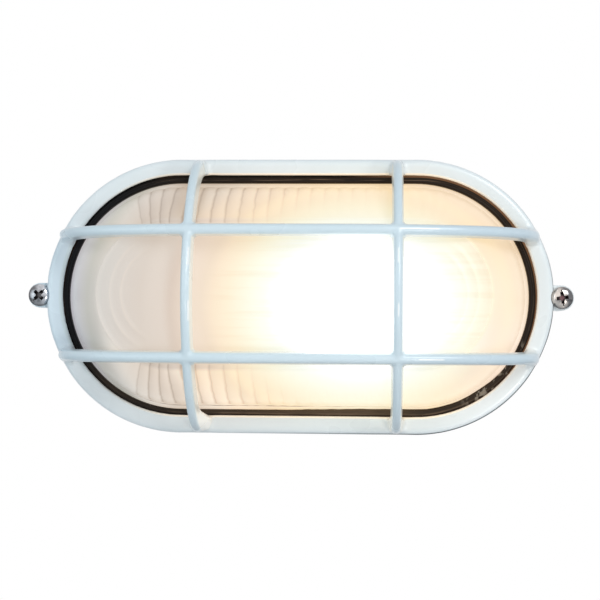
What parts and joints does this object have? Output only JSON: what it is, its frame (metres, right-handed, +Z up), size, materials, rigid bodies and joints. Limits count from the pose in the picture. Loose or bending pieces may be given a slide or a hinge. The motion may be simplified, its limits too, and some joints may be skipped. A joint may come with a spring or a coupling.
{
  "type": "bulkhead light",
  "caption": "Oval wall bulkhead light with a cast housing, a ribbed frosted glass dome, a cast bar guard and a lamp in a porcelain holder.",
  "frame": {"origin": "centre of the flat back face that lies on the wall", "axes": "+X along the light's length, to the right seen from the front; +Y into the wall; +Z up"},
  "size_m": [0.2262, 0.097, 0.114],
  "materials": {
    "white_enamel": "gloss enamel on die-cast aluminium",
    "frosted_glass": "frosted inside, ribbed outside",
    "black_rubber": "moulded",
    "stainless_steel": "polished",
    "white_porcelain": "glazed",
    "brass": "plain",
    "spring_bronze": "plain",
    "zinc_plated_steel": "zinc plated",
    "nickel_plate": "nickel plated",
    "opal_lamp_glass": "opal",
    "black_cap_glass": "black glass",
    "brown_sleeve": "silicone sleeve",
    "blue_sleeve": "silicone sleeve"
  },
  "bodies": {
    "root": {"base_housing": "white_enamel", "guard": "white_enamel", "glass_lens": "frosted_glass", "glass_seal": "black_rubber", "guard_screw_left": "stainless_steel", "guard_screw_right": "stainless_steel", "cable_grommet": "black_rubber", "lampholder_body": "white_porcelain", "lampholder_shell": "brass", "lampholder_contact": "spring_bronze", "lampholder_terminal_live": "brass", "lampholder_terminal_neutral": "brass", "lampholder_bracket": "zinc_plated_steel", "lampholder_screw_lower": "zinc_plated_steel", "lampholder_screw_upper": "zinc_plated_steel", "bracket_screw_lower": "zinc_plated_steel", "bracket_screw_upper": "zinc_plated_steel", "lamp_bulb": "opal_lamp_glass", "lamp_cap": "nickel_plate", "lamp_cap_insulator": "black_cap_glass", "lamp_cap_contact": "nickel_plate", "terminal_block": "white_porcelain", "terminal_barrel_live": "brass", "terminal_barrel_neutral": "brass", "terminal_screw_live_in": "brass", "terminal_screw_live_out": "brass", "terminal_screw_neutral_in": "brass", "terminal_screw_neutral_out": "brass", "terminal_block_screw": "zinc_plated_steel", "earth_screw": "brass", "earth_washer": "brass", "lead_live": "brown_sleeve", "lead_neutral": "blue_sleeve"}
  },
  "joints": []
}
